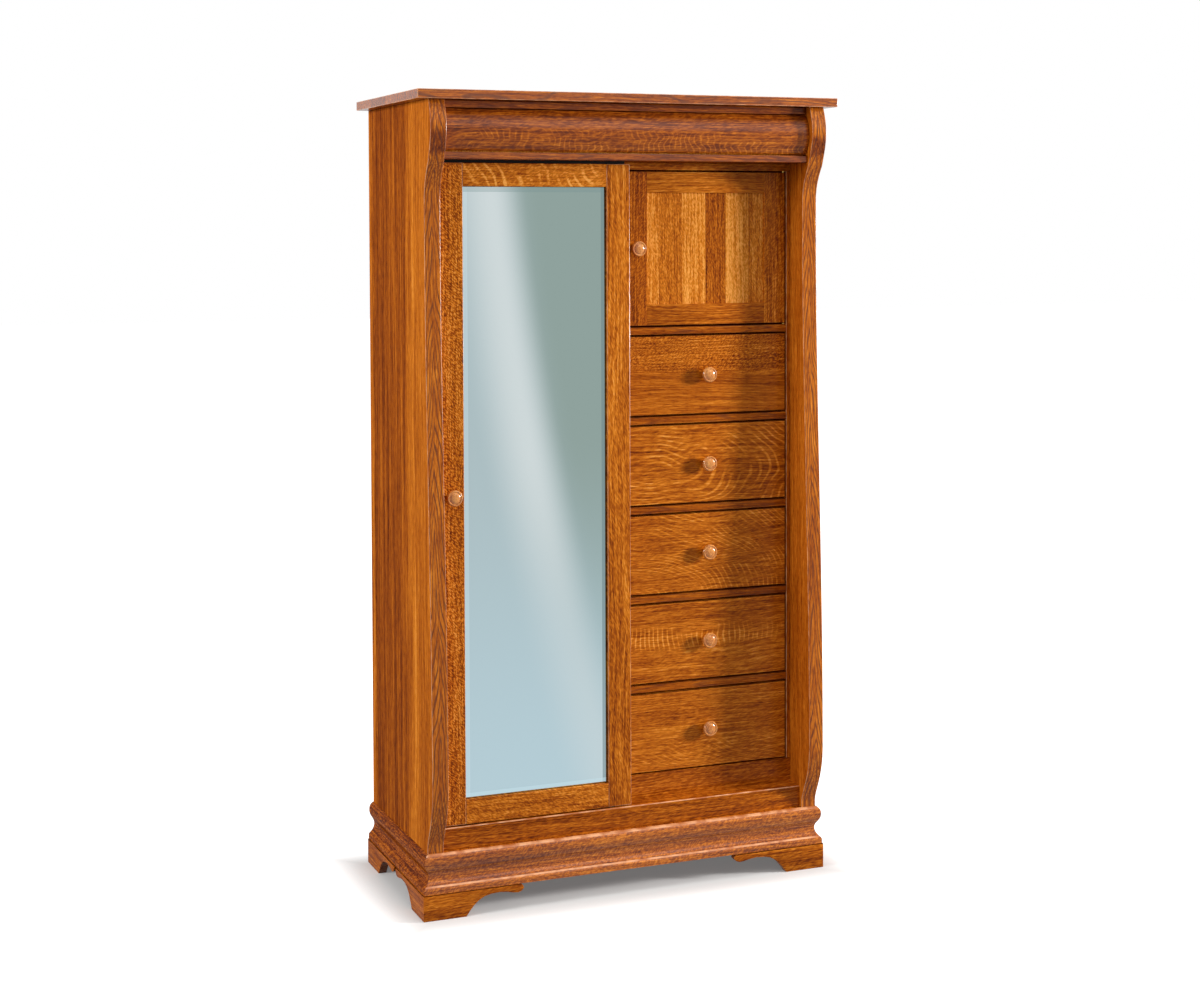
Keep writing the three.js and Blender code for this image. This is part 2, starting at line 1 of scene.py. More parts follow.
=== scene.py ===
# Chifforobe with a sliding mirror door: the finished pieces, set around their solids.
# Metres, +Z up, front towards -Y. The sections follow the order in which the cabinet is put together.
import math

import bmesh
import bpy
from mathutils import Matrix, Vector


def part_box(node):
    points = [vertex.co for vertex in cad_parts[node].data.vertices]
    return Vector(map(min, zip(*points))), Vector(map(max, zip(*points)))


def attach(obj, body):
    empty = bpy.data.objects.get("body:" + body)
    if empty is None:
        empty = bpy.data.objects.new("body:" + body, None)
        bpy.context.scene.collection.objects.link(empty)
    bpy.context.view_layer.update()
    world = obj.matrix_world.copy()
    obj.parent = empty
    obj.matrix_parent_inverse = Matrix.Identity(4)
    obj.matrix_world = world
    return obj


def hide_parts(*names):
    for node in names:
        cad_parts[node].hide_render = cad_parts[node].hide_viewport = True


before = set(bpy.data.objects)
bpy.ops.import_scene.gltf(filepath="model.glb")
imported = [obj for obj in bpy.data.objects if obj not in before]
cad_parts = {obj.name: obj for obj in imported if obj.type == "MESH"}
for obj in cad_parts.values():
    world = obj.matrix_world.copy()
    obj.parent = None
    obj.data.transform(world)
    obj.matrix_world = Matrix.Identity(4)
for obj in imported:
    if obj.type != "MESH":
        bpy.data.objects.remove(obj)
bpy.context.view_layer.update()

# Camera
# It stands to the left of the front at eye height, aims almost level and looks down through its shift,
# so upright edges stay upright.
photo_width_px = 1200
photo_height_px = 1000
focal_length_px = 1992.1
optical_centre_px = (599.6, 298.9)
camera_yaw = math.radians(22.1)
camera_pitch = math.radians(-2.0)
camera_roll = math.radians(-0.2)
lens_data = bpy.data.cameras.new("camera")
lens_data.sensor_fit = "HORIZONTAL"
lens_data.lens = focal_length_px / photo_width_px * lens_data.sensor_width
lens_data.shift_x = (photo_width_px / 2 - optical_centre_px[0]) / photo_width_px
lens_data.shift_y = (optical_centre_px[1] - photo_height_px / 2) / photo_width_px
camera = bpy.data.objects.new("camera", lens_data)
bpy.context.scene.collection.objects.link(camera)
bpy.context.scene.camera = camera
level_look = Matrix.Rotation(-camera_yaw, 4, "Z") @ Matrix.Rotation(math.pi / 2 + camera_pitch, 4, "X")
camera.matrix_world = (
    Matrix.Translation((-1.8390, -4.5541, 1.5878)) @ level_look @ Matrix.Rotation(camera_roll, 4, "Z")
)

# Side panels
# Each side is glued up from upright oak boards, with a rear stile set off by a V-groove, then stained
# and lacquered. The post is screwed to its front edge and the back panel is let in between the two.


class Socket:
    """One output of a shader node, so that a pattern can be written as an expression."""

    def __init__(self, shader, output):
        self.shader = shader
        self.output = output

    def maths(self, operation, *values):
        return self.shader.node("ShaderNodeMath", {"operation": operation}, dict(enumerate(values)))

    def __add__(self, other):
        return self.maths("ADD", self, other)

    def __sub__(self, other):
        return self.maths("SUBTRACT", self, other)

    def __rsub__(self, other):
        return self.maths("SUBTRACT", other, self)

    def __mul__(self, other):
        return self.maths("MULTIPLY", self, other)

    def __truediv__(self, other):
        return self.maths("DIVIDE", self, other)

    __radd__ = __add__
    __rmul__ = __mul__

    def sine(self):
        return self.maths("SINE", self)

    def root(self):
        return self.maths("SQRT", self)

    def rise(self, start, end):
        """0 below start, 1 above end, and a soft step between them."""
        spans = {"Value": self, "From Min": start, "From Max": end}
        return self.shader.node("ShaderNodeMapRange", {"interpolation_type": "SMOOTHSTEP"}, spans)


class Shader:
    """The node tree of a material or of the world."""

    def __init__(self, owner):
        owner.use_nodes = True
        self.tree = owner.node_tree
        self.tree.nodes.clear()

    def node(self, kind, settings=None, sockets=None, output=0):
        made = self.tree.nodes.new(kind)
        for name, value in (settings or {}).items():
            if name == "stops":
                ramp = made.color_ramp
                while len(ramp.elements) < len(value):
                    ramp.elements.new(1)
                for stop, (position, colour) in zip(ramp.elements, value):
                    stop.position = position
                    stop.color = colour
            else:
                setattr(made, name, value)
        for name, value in (sockets or {}).items():
            if isinstance(value, Socket):
                self.tree.links.new(value.output, made.inputs[name])
            else:
                made.inputs[name].default_value = value
        return Socket(self, made.outputs[output]) if made.outputs else None

    def noise(self, place, grain, seed, detail=2.0):
        """Soft noise with so many grains to the metre along each axis of the board."""
        shift = (seed * 7.31, seed * 3.17, seed * 5.77)
        spot = self.node("ShaderNodeMapping", {}, {"Vector": place, "Scale": grain, "Location": shift})
        return self.node("ShaderNodeTexNoise", {}, {"Vector": spot, "Scale": 1.0, "Detail": detail})

    def blend(self, share, first, second):
        return self.node("ShaderNodeMix", {"data_type": "RGBA"}, {0: share, 6: first, 7: second}, output=2)

    def split(self, vector):
        parts = [self.node("ShaderNodeSeparateXYZ", {}, {0: vector}, output=axis) for axis in range(3)]
        return parts

    def join(self, along, depth, across):
        return self.node("ShaderNodeCombineXYZ", {}, {0: along, 1: depth, 2: across})


def tint(red, green, blue):
    """A colour given as it looks on a screen, from 0 to 255, as a shader colour."""
    levels = [level / 255 for level in (red, green, blue)]
    curve = [level / 12.92 if level <= 0.04045 else ((level + 0.055) / 1.055) ** 2.4 for level in levels]
    return (*curve, 1.0)


along_x = Vector((1, 0, 0))
along_y = Vector((0, 1, 0))
along_z = Vector((0, 0, 1))


def grain_place(shader, middle, grain, depth):
    """Object coordinates from the middle of a board: along the grain, into its face, across its face."""
    turn = Matrix((grain, depth, grain.cross(depth)))
    place = shader.node("ShaderNodeTexCoord", output="Object")
    spot = {"Vector": place, "Rotation": turn.to_euler(), "Location": -(turn @ middle)}
    return shader.node("ShaderNodeMapping", {}, spot)


def within(value, band, blur=0.012):
    """1 inside a band and 0 outside it, with soft limits."""
    return value.rise(band[0] - blur, band[0] + blur) * (1.0 - value.rise(band[1] - blur, band[1] + blur))


def stained_oak(
    name,
    middle,
    grain,
    depth,
    seed,
    tone=0.0,
    boards=(),
    bands=0.0,
    cathedral=None,
    ticks=None,
    ribbons=None,
    painted_shade_bands=(),
    wander=0.05,
    gloss=0.14,
):
    """Oak with pores, growth lines and streaks, and either the dark lines of a plain-sawn board or the pale
    ticks and ribbons of a quarter-sawn one, under a brown stain and satin lacquer."""
    material = bpy.data.materials.new(name)
    shader = Shader(material)
    place = grain_place(shader, middle, grain, depth)
    along, inward, across = shader.split(place)
    level = 0.5 + tone
    tone_before = 0.0
    for joint, board_tone in boards:
        beyond = across.rise(joint - 0.0003, joint + 0.0003)
        level = level + beyond * (board_tone - tone_before)
        along = along + beyond * 1.7
        inward = inward + beyond * 0.9
        tone_before = board_tone
    drift = shader.noise(shader.join(along, inward, across), (1.3, 3.0, 6.0), seed)
    bent_across = across + (drift - 0.5) * wander
    bent = shader.join(along, inward, bent_across)
    clouds = shader.noise(bent, (2.2, 9.0, 14.0), seed + 1)
    streaks = shader.noise(bent, (2.4, 60.0, 90.0), seed + 2, 3.0)
    lines = shader.noise(bent, (6.5, 260.0, 310.0), seed + 3)
    dashes = shader.noise(bent, (42.0, 380.0, 430.0), seed + 11, 1.0)
    pores = shader.noise(bent, (80.0, 900.0, 1300.0), seed + 4, 1.0)
    pore = pores.rise(0.56, 0.68)
    level = level + (clouds - 0.5) * 0.3 + (streaks - 0.5) * 0.35 + (lines - 0.5) * 0.75
    level = level + (dashes - 0.5) * 0.5
    # Bands along the grain darkened by their tone: painted shade.
    for start, end, painted_shade_tone in painted_shade_bands:
        level = level + within(along, (start, end), 0.009) * painted_shade_tone
    if bands:
        level = level + (shader.noise(bent, (0.5, 20.0, 42.0), seed + 8) - 0.5) * bands
    height = (1.0 - pore) * 0.6 + lines * 0.4
    if ticks:
        lean = math.radians(ticks["lean"])
        waves = shader.noise(bent, ticks["wave_grain"], seed + 7, 1.0)
        wavy_across = bent_across + (waves - 0.5) * ticks["wave"]
        tick_along = along * math.cos(lean) + wavy_across * math.sin(lean)
        tick_across = wavy_across * math.cos(lean) - along * math.sin(lean)
        tick_grain = (ticks["length_grain"], 60.0, ticks["width_grain"])
        tick = shader.noise(shader.join(tick_along, inward, tick_across), tick_grain, seed + 9, 1.0)
        tick = (tick.rise(0.4, 0.62) - 0.45) * ticks["strength"]
        if "band" in ticks:
            tick = tick * within(bent_across, ticks["band"])
        level = level + tick
    if ribbons:
        swirl = shader.noise(bent, ribbons["swirl_grain"], seed + 5, 1.0)
        if "heart" in ribbons:
            from_heart = (along - ribbons["heart"][0]) * ribbons["squash"]
            above_heart = bent_across - ribbons["heart"][1]
            field = (from_heart * from_heart + above_heart * above_heart).root()
        else:
            lean = math.radians(ribbons["lean"])
            field = along * math.sin(lean) + bent_across * math.cos(lean)
        field = field / ribbons["spacing"] + (swirl - 0.5) * ribbons["swirl"]
        ribbon = (field * math.tau).sine().rise(ribbons["edge"], 1.0)
        patch = shader.noise(bent, ribbons["patch_grain"], seed + 6, 1.0).rise(0.38, 0.6)
        if "band" in ribbons:
            patch = patch * within(bent_across, ribbons["band"])
        level = level + ribbon * patch * ribbons["strength"]
        height = height + ribbon * patch * 0.3
    level = level - pore * 0.2
    stain = [
        (0.0, tint(64, 24, 5)),
        (0.25, tint(118, 50, 8)),
        (0.5, tint(172, 88, 16)),
        (0.75, tint(214, 126, 34)),
        (1.0, tint(242, 166, 78)),
    ]
    colour = shader.node("ShaderNodeValToRGB", {"stops": stain}, {"Fac": level})
    if cathedral:
        contours = shader.noise(bent, cathedral["loop_grain"], seed + 10, 1.0)
        from_middle = bent_across.maths("ABSOLUTE", bent_across)
        ring = from_middle * cathedral["pitch"] + along * cathedral["climb"]
        ring = ring + contours * cathedral["loops"] + (streaks - 0.5) * 0.5
        line = (ring * math.tau).sine().rise(cathedral["edge"], 1.0)
        broken = lines.rise(0.3, 0.6) * 0.6 + 0.4
        colour = shader.blend(line * broken * cathedral["depth"], colour, tint(86, 44, 30))
    bump = shader.node("ShaderNodeBump", {}, {"Strength": 0.35, "Distance": 0.0003, "Height": height})
    surface = {
        "Base Color": colour,
        "Roughness": 0.42 + pore * 0.2,
        "Specular IOR Level": 0.0,
        "Coat Weight": gloss,
        "Coat Roughness": 0.22,
        "Normal": bump,
    }
    finish = shader.node("ShaderNodeBsdfPrincipled", {}, surface)
    shader.node("ShaderNodeOutputMaterial", {}, {"Surface": finish})
    return material


arris_width = 0.0018
smooth_below = math.radians(22)
# The pale arris finish stands partly for wear, where the stain is sanded through, and partly for a painted highlight
# on edges that catch the light.
worn_and_highlit_oak = bpy.data.materials.new("worn_and_highlit_arris_oak")
shader = Shader(worn_and_highlit_oak)
place = shader.node("ShaderNodeTexCoord", output="Object")
wear_and_sheen_mottle = shader.noise(place, (35.0, 35.0, 35.0), 200, 3.0).rise(0.35, 0.65)
worn_and_highlit_tone = shader.blend(wear_and_sheen_mottle, tint(176, 98, 44), tint(222, 160, 112))
worn_and_highlit_surface = {"Base Color": worn_and_highlit_tone, "Roughness": 0.3, "Coat Weight": 0.3, "Coat Roughness": 0.15}
worn_and_highlit_finish = shader.node("ShaderNodeBsdfPrincipled", {}, worn_and_highlit_surface)
shader.node("ShaderNodeOutputMaterial", {}, {"Surface": worn_and_highlit_finish})
# The dark arris finish is partly stain gathered in the sanded edges and partly painted shade, widening the dark
# reveals round the drawers, dividers and small door, and the line where the feet meet the moulding.
dark_oak = bpy.data.materials.new("dark_arris_oak")
shader = Shader(dark_oak)
place = shader.node("ShaderNodeTexCoord", output="Object")
stain_and_shade_mottle = shader.noise(place, (60.0, 60.0, 60.0), 201, 2.0)
dark_tone = shader.blend(stain_and_shade_mottle, tint(26, 11, 4), tint(60, 28, 10))
dark_surface = {"Base Color": dark_tone, "Roughness": 0.6, "Specular IOR Level": 0.0}
dark_finish = shader.node("ShaderNodeBsdfPrincipled", {}, dark_surface)
shader.node("ShaderNodeOutputMaterial", {}, {"Surface": dark_finish})
arris_slots = {"plain": -1, "worn_highlit": 1, "dark": 2}


def middle_of(node):
    low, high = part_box(node)
    return (low + high) / 2


def cut_block(name, low, high):
    """A plain block of wood between two corners, in edit mode, ready to be shaped."""
    bpy.ops.object.select_all(action="DESELECT")
    bpy.ops.mesh.primitive_cube_add(size=1, location=(low + high) / 2, scale=high - low)
    block = bpy.context.object
    block.name = name
    for finish in (None, worn_and_highlit_oak, dark_oak):
        block.data.materials.append(finish)
    bpy.ops.object.transform_apply(location=True, rotation=True, scale=True)
    bpy.ops.object.mode_set(mode="EDIT")
    return block


def pick(piece, kind, test):
    """Selects the points, edges or faces of the piece in edit mode that pass the test."""
    bpy.ops.mesh.select_mode(type={"verts": "VERT", "edges": "EDGE", "faces": "FACE"}[kind])
    bpy.ops.mesh.select_all(action="DESELECT")
    mesh = bmesh.from_edit_mesh(piece.data)
    for element in getattr(mesh, kind):
        element.select_set(bool(test(element)))
    mesh.select_flush_mode()
    bmesh.update_edit_mesh(piece.data)


def near(first, second):
    return abs(first - second) < 1e-5


def on_plane(element, axis, value):
    """Whether a point, or every point of an edge or face, lies on a plane across an axis."""
    points = [element] if isinstance(element, bmesh.types.BMVert) else element.verts
    return all(near(point.co[axis], value) for point in points)


def on_level(edge):
    """Whether an edge lies level in the run of its bar."""
    return near(edge.verts[0].co.z, edge.verts[1].co.z)


def ease_edges(piece, width=arris_width, test=lambda edge: True, arris="plain"):
    """Rounds the chosen edges as a sanding block does: left plain, pale for wear and painted highlight, or dark for
    stain gathered in them and painted shade.
    """
    pick(piece, "edges", test)
    bpy.ops.mesh.bevel(offset=width, segments=2, affect="EDGES", material=arris_slots[arris])


def hang(piece, body, material, node, crease=smooth_below):
    """Gives a shaped piece its finish, and sets it on its body in place of its plain solid."""
    if bpy.context.mode == "EDIT_MESH":
        bpy.ops.object.mode_set(mode="OBJECT")
    bpy.ops.object.shade_smooth_by_angle(angle=crease)
    if piece.data.materials:
        piece.data.materials[0] = material
    else:
        piece.data.materials.append(material)
    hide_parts(node)
    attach(piece, body)


def eased_board(node, body, material, width=arris_width, arris="plain"):
    """A plain board of the node's own size with sanded edges."""
    board = cut_block(node + "_finished", *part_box(node))
    ease_edges(board, width, arris=arris)
    hang(board, body, material, node)


def score_line(piece, face_axis, face, line_axis, line, half_width, depth):
    """Cuts a V-groove straight across one face of a block."""
    across = [0, 0, 0]
    across[line_axis] = 1
    for shift in (-half_width, 0, half_width):
        point = [0, 0, 0]
        point[line_axis] = line + shift
        bpy.ops.mesh.select_all(action="SELECT")
        bpy.ops.mesh.bisect(plane_co=point, plane_no=across)
    pick(piece, "edges", lambda edge: on_plane(edge, face_axis, face) and on_plane(edge, line_axis, line))
    move = [0, 0, 0]
    move[face_axis] = depth
    bpy.ops.transform.translate(value=move)


groove_place = 0.219
groove_half_width = 0.0022
groove_depth = 0.0025
side_boards = [(-0.2, 0.13), (-0.1565, 0.02), (-0.0685, -0.06), (0.0215, -0.09), (0.1655, 0.04)]
for side, seed in (("left", 3), ("right", 8)):
    node = side + "_side_panel"
    low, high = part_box(node)
    panel = cut_block(node + "_finished", low, high)
    outer = low.x if side == "left" else high.x
    inward_move = groove_depth if side == "left" else -groove_depth
    ease_edges(panel, arris_width, lambda edge: on_plane(edge, 0, outer) and on_plane(edge, 1, high.y))
    score_line(panel, 0, outer, 1, groove_place, groove_half_width, inward_move)
    side_oak = stained_oak(
        node + "_oak",
        middle_of(node),
        along_z,
        along_x,
        seed,
        -0.03,
        boards=side_boards,
        bands=0.5,
        wander=0.02,
        gloss=0.03,
    )
    hang(panel, "case", side_oak, node)

# Back panel and the boards inside the case
# The back, the bottom board and the crown deck are stained but not polished. The partition and the wall
# beside the drawers are oak boards, notched round the rail above them and screwed to the boards below and above.


def even_boards(count, width, contrast):
    """Joints of so many boards of one width, each lighter or darker than its neighbour."""
    return [((step - count / 2) * width, contrast * math.sin(step * 2.4)) for step in range(count + 1)]


def merged_copy(node):
    """A copy of a piece's own solid, in edit mode, with its shared points joined and its flat faces whole."""
    bpy.ops.object.select_all(action="DESELECT")
    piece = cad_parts[node].copy()
    piece.data = piece.data.copy()
    piece.name = node + "_finished"
    piece.parent = None
    bpy.context.scene.collection.objects.link(piece)
    bpy.context.view_layer.objects.active = piece
    piece.select_set(True)
    bpy.ops.object.mode_set(mode="EDIT")
    bpy.ops.mesh.select_all(action="SELECT")
    bpy.ops.mesh.remove_doubles(threshold=1e-5)
    bpy.ops.mesh.dissolve_limited(angle_limit=math.radians(1))
    piece.data.materials.clear()
    for finish in (None, worn_and_highlit_oak, dark_oak):
        piece.data.materials.append(finish)
    return piece


def dress_node(node, material):
    """Gives a piece whose own solid is its finished shape its wood or metal."""
    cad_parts[node].material_slots[0].material = material


eased_board(
    "back_panel",
    "case",
    stained_oak(
        "back_oak", middle_of("back_panel"), along_z, along_y, 12, -0.12, even_boards(9, 0.12, 0.08), gloss=0.03
    ),
)
eased_board(
    "bottom_board",
    "case",
    stained_oak(
        "bottom_oak", middle_of("bottom_board"), along_x, -along_z, 13, -0.1, even_boards(4, 0.1, 0.06), gloss=0.03
    ),
)
for node, seed in (("centre_partition", 14), ("drawer_bay_side", 15)):
    low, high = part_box(node)
    wall = merged_copy(node)
    ease_edges(wall, 0.001, lambda edge: on_plane(edge, 1, low.y) and on_plane(edge, 0, low.x), "worn_highlit")
    wall_boards = even_boards(4, 0.09, 0.07)
    wall_oak = stained_oak(node + "_oak", middle_of(node), along_z, along_x, seed, 0.0, wall_boards)
    hang(wall, "case", wall_oak, node)

# Face rails
# Two rails run across the whole face frame, above the small door and below the lowest drawer. They are
# quarter-sawn oak, let into the sides, and carry the upper pivot and the floor of the case.
rail_ticks = {
    "lean": 14,
    "wave": 0.05,
    "wave_grain": (9.0, 10.0, 14.0),
    "length_grain": 55.0,
    "width_grain": 230.0,
    "strength": 0.14,
}
for node, seed, tone in (("face_top_rail", 21, 0.06), ("face_bottom_rail", 22, 0.0)):
    rail_oak = stained_oak(node + "_oak", middle_of(node), along_x, along_y, seed, tone, ticks=rail_ticks)
    eased_board(node, "case", rail_oak)

# Front posts
# Each post is one thick plain-sawn board, bandsawn to the outline of a sleigh: a bulge at the crown, a
# crease and a cove under it, a long sweep, and a knee that stands on the base. Its arrises are sanded,
# and made pale partly as wear and partly as painted highlight. The crown and the cove carry painted shade.


def section_of(node, run, back_axis, back):
    """The closed outline of a bar: from the top down its front, then up its back, with the bar's two ends."""
    first, second = [axis for axis in range(3) if axis != run]
    ends = {}
    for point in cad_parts[node].data.vertices:
        spot = (round(point.co[first], 5), round(point.co[second], 5))
        ends.setdefault(spot, []).append(point.co[run])
    outline = []
    for spot, reach in ends.items():
        centre = Vector((0, 0, 0))
        centre[first], centre[second] = spot
        centre[run] = (min(reach) + max(reach)) / 2
        outline.append((centre, max(reach) - min(reach)))
    front = [entry for entry in outline if abs(entry[0][back_axis] - back) > 1e-4]
    rear = [entry for entry in outline if abs(entry[0][back_axis] - back) <= 1e-4]
    front.sort(key=lambda entry: -entry[0].z)
    rear.sort(key=lambda entry: entry[0].z)
    return front + rear


def traced_bar(name, run, outline):
    """An edge as long as the bar, drawn out from point to point of the outline, then capped at its ends."""
    bpy.ops.object.select_all(action="DESELECT")
    bpy.ops.mesh.primitive_plane_add(size=1)
    bar = bpy.context.object
    bar.name = name
    for finish in (None, worn_and_highlit_oak, dark_oak):
        bar.data.materials.append(finish)
    bpy.ops.object.mode_set(mode="EDIT")
    pick(bar, "verts", lambda point: point.co[1 - run] < 0)
    bpy.ops.mesh.delete(type="VERT")
    bpy.ops.mesh.select_all(action="SELECT")
    start, length = outline[0]
    stretch = [1, 1, 1]
    stretch[run] = length
    side_step = Vector((0, 0, 0))
    side_step[1 - run] = -0.5
    bpy.ops.transform.translate(value=side_step)
    bpy.ops.transform.resize(value=stretch, center_override=(0, 0, 0))
    bpy.ops.transform.translate(value=start)
    for place, reach in outline[1:] + outline[:1]:
        bpy.ops.mesh.extrude_region_move(TRANSFORM_OT_translate={"value": place - start})
        if not near(reach, length):
            stretch[run] = reach / length
            bpy.ops.transform.resize(value=stretch, center_override=place)
        start, length = place, reach
    bpy.ops.mesh.select_all(action="SELECT")
    bpy.ops.mesh.remove_doubles(threshold=1e-6)
    bpy.ops.mesh.fill_holes(sides=0)
    bpy.ops.mesh.select_all(action="SELECT")
    bpy.ops.mesh.normals_make_consistent(inside=False)
    return bar


post_figure = {
    "loop_grain": (5.0, 10.0, 24.0),
    "loops": 4.0,
    "pitch": 120.0,
    "climb": 16.0,
    "edge": 0.2,
    "depth": 0.85,
}
post_crease = math.radians(10)
# Painted shade along the grain: the crown above the bulge, under the overhang of the top, and the cove under the
# crease.
crown_shade = (0.865, 0.97, -0.22)
cove_shade = (0.745, 0.793, -0.26)
for side, seed in (("left", 31), ("right", 36)):
    node = side + "_post"
    low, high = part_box(node)
    post = traced_bar(node + "_finished", 0, section_of(node, 0, 1, high.y))
    for edge_plane in (low.x, high.x):
        ease_edges(
            post,
            0.0009,
            lambda edge: on_plane(edge, 0, edge_plane) and not on_plane(edge, 1, high.y) and not on_level(edge),
            arris="worn_highlit",
        )
    post_oak = stained_oak(
        node + "_oak",
        middle_of(node),
        along_z,
        along_y,
        seed,
        0.05,
        cathedral=post_figure,
        painted_shade_bands=(crown_shade, cove_shade),
        gloss=0.35,
    )
    flank_oak = stained_oak(node + "_flank_oak", middle_of(node), along_z, along_x, seed + 2, 0.03, gloss=0.03)
    hang(post, "case", post_oak, node, post_crease)
    post.data.materials.append(flank_oak)
    for face in post.data.polygons:
        if face.material_index == 0 and abs(face.normal.x) > 0.9:
            face.material_index = 3

# Crown
# A rail under the top and a sill below frame the rounded front of the hidden drawer. The sill ends in
# front of a slot, and the deck behind the slot carries the drawer and ties the two sides together.
crown_figure = {
    "loop_grain": (3.0, 20.0, 30.0),
    "loops": 3.0,
    "pitch": 60.0,
    "climb": 5.0,
    "edge": 0.5,
    "depth": 0.5,
}
for node, seed, gloss in (("crown_top_rail", 41, 0.35), ("crown_sill", 42, 0.8)):
    rail_oak = stained_oak(
        node + "_oak", middle_of(node), along_x, along_y, seed, -0.16, cathedral=crown_figure, gloss=gloss
    )
    eased_board(node, "case", rail_oak)
deck_boards = even_boards(4, 0.11, 0.06)
dress_node(
    "crown_deck",
    stained_oak("deck_oak", middle_of("crown_deck"), along_x, -along_z, 43, -0.1, deck_boards, gloss=0.03),
)

# Top board
# Four oak boards, edge-glued and sanded flat, overhang the case at the front and sides. The end grain
# shows at the left and right edges. It is screwed down from inside.
top_figure = {
    "loop_grain": (4.5, 26.0, 12.0),
    "loops": 6.0,
    "pitch": 44.0,
    "climb": 3.0,
    "edge": 0.35,
    "depth": 0.75,
}
top_boards = even_boards(4, 0.13, 0.06)
top_oak = stained_oak(
    "top_oak", middle_of("top_board"), along_x, -along_z, 51, -0.09, top_boards, cathedral=top_figure, gloss=0.9
)
eased_board("top_board", "case", top_oak, 0.0014, arris="worn_highlit")

# Drawer dividers
# Five boards are housed between the partition and the wall on the right. Their front edges show as rails
# between the drawers, and the drawers slide on them.
for number in range(1, 6):
    node = f"drawer_divider_{number}"
    divider_oak = stained_oak(
        f"divider_{number}_oak", middle_of(node), along_x, along_y, 60 + number, -0.08, cathedral=crown_figure
    )
    eased_board(node, "case", divider_oak, 0.0009, arris="dark")

# Door sill
# The ledge that the sliding door runs on: a board over a fascia, with the line of the joint just below
# its front arris. Both are quarter-sawn oak, housed between the two posts.
sill_low, sill_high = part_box("door_sill")
sill = cut_block("door_sill_finished", sill_low, sill_high)
ease_edges(
    sill, 0.0022, lambda edge: on_plane(edge, 1, sill_low.y) and on_plane(edge, 2, sill_high.z), arris="worn_highlit"
)
score_line(sill, 1, sill_low.y, 2, sill_high.z - 0.0118, 0.0009, 0.0014)
sill_oak = stained_oak("sill_oak", middle_of("door_sill"), along_x, along_y, 71, -0.06, ticks=rail_ticks)
hang(sill, "case", sill_oak, "door_sill")

# Hanging space
# A hat shelf between the left side and the partition, and a turned rail under it for clothes hangers.
shelf_boards = even_boards(4, 0.1, 0.06)
shelf_oak = stained_oak("shelf_oak", middle_of("closet_shelf"), along_x, -along_z, 74, -0.05, shelf_boards)
eased_board("closet_shelf", "case", shelf_oak)
rod_low, rod_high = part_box("closet_rod")
bpy.ops.object.select_all(action="DESELECT")
bpy.ops.mesh.primitive_cylinder_add(
    vertices=48,
    radius=(rod_high.z - rod_low.z) / 2,
    depth=rod_high.x - rod_low.x,
    location=middle_of("closet_rod"),
    rotation=(0, math.pi / 2, 0),
)
rod = bpy.context.object
rod.name = "closet_rod_finished"
bpy.ops.object.transform_apply(location=True, rotation=True, scale=True)
bpy.ops.object.mode_set(mode="EDIT")
ease_edges(rod, 0.002, lambda edge: on_plane(edge, 0, rod_low.x) or on_plane(edge, 0, rod_high.x))
hang(
    rod,
    "case",
    stained_oak("rod_oak", middle_of("closet_rod"), along_x, along_y, 75, 0.15),
    "closet_rod",
)

# Base moulding
# A bead, a cove and a square fillet, moulded on three lengths of quarter-sawn oak that are mitred at the
# front corners and glued round the case.
moulding_ticks = {
    "lean": 28,
    "wave": 0.06,
    "wave_grain": (7.0, 10.0, 16.0),
    "length_grain": 130.0,
    "width_grain": 330.0,
    "strength": 0.24,
}
bead_top_slope = 0.7
moulding_runs = {
    "base_front_moulding": (0, 1, along_x, along_y, 81),
    "base_left_moulding": (1, 0, along_y, along_x, 82),
    "base_right_moulding": (1, 0, along_y, along_x, 83),
}
for node, (run, back_axis, grain, depth, seed) in moulding_runs.items():
    low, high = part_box(node)
    back = low.x if node == "base_right_moulding" else high[back_axis]
    moulding = traced_bar(node + "_finished", run, section_of(node, run, back_axis, back))
    tone, gloss = (-0.02, 0.8) if run == 0 else (-0.18, 0.1)
    moulding_oak = stained_oak(
        node + "_oak", middle_of(node), grain, depth, seed, tone, ticks=moulding_ticks, gloss=gloss
    )
    hang(moulding, "case", moulding_oak, node)
    # On the front run the up-facing bead tops take the pale arris finish: a painted highlight where they face the
    # light from above.
    for face in moulding.data.polygons:
        if run == 0 and face.normal.z > bead_top_slope and face.center.z < high.z - 0.0002:
            face.material_index = arris_slots["worn_highlit"]

# Bracket feet
# Two blades of oak with the grain level, sawn to an ogee with a scroll tip and mitred at the corner. They
# are glued under the moulding and stand proud of it.
blade_thickness = 0.0201
for label, seed in (("front_left", 91), ("front_right", 93), ("rear_left", 95), ("rear_right", 97)):
    node = label + "_foot"
    low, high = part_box(node)
    foot = merged_copy(node)
    outer_x = low.x if label.endswith("left") else high.x
    outer_y = low.y if label.startswith("front") else high.y
    outside = lambda edge: on_plane(edge, 0, outer_x) or on_plane(edge, 1, outer_y)
    ease_edges(foot, 0.0014, lambda edge: outside(edge) and on_plane(edge, 2, high.z), "dark")
    ease_edges(
        foot,
        0.0012,
        lambda edge: outside(edge) and edge.calc_face_angle(0) > smooth_below and not on_plane(edge, 2, high.z),
    )
    front_oak = stained_oak(node + "_front_oak", middle_of(node), along_x, along_y, seed, 0.0, ticks=rail_ticks)
    side_oak = stained_oak(node + "_side_oak", middle_of(node), along_y, along_x, seed + 1, -0.06)
    hang(foot, "case", front_oak, node)
    foot.data.materials.append(side_oak)
    for face in foot.data.polygons:
        if face.material_index == 0 and abs(face.center.y - outer_y) > blade_thickness:
            face.material_index = 3

# Mirror door
# Two stiles and two rails of quarter-sawn oak, mortised and tenoned. The stiles run the whole height.
# A rabbet behind them holds the mirror. The ray flecks show best on the top rail.


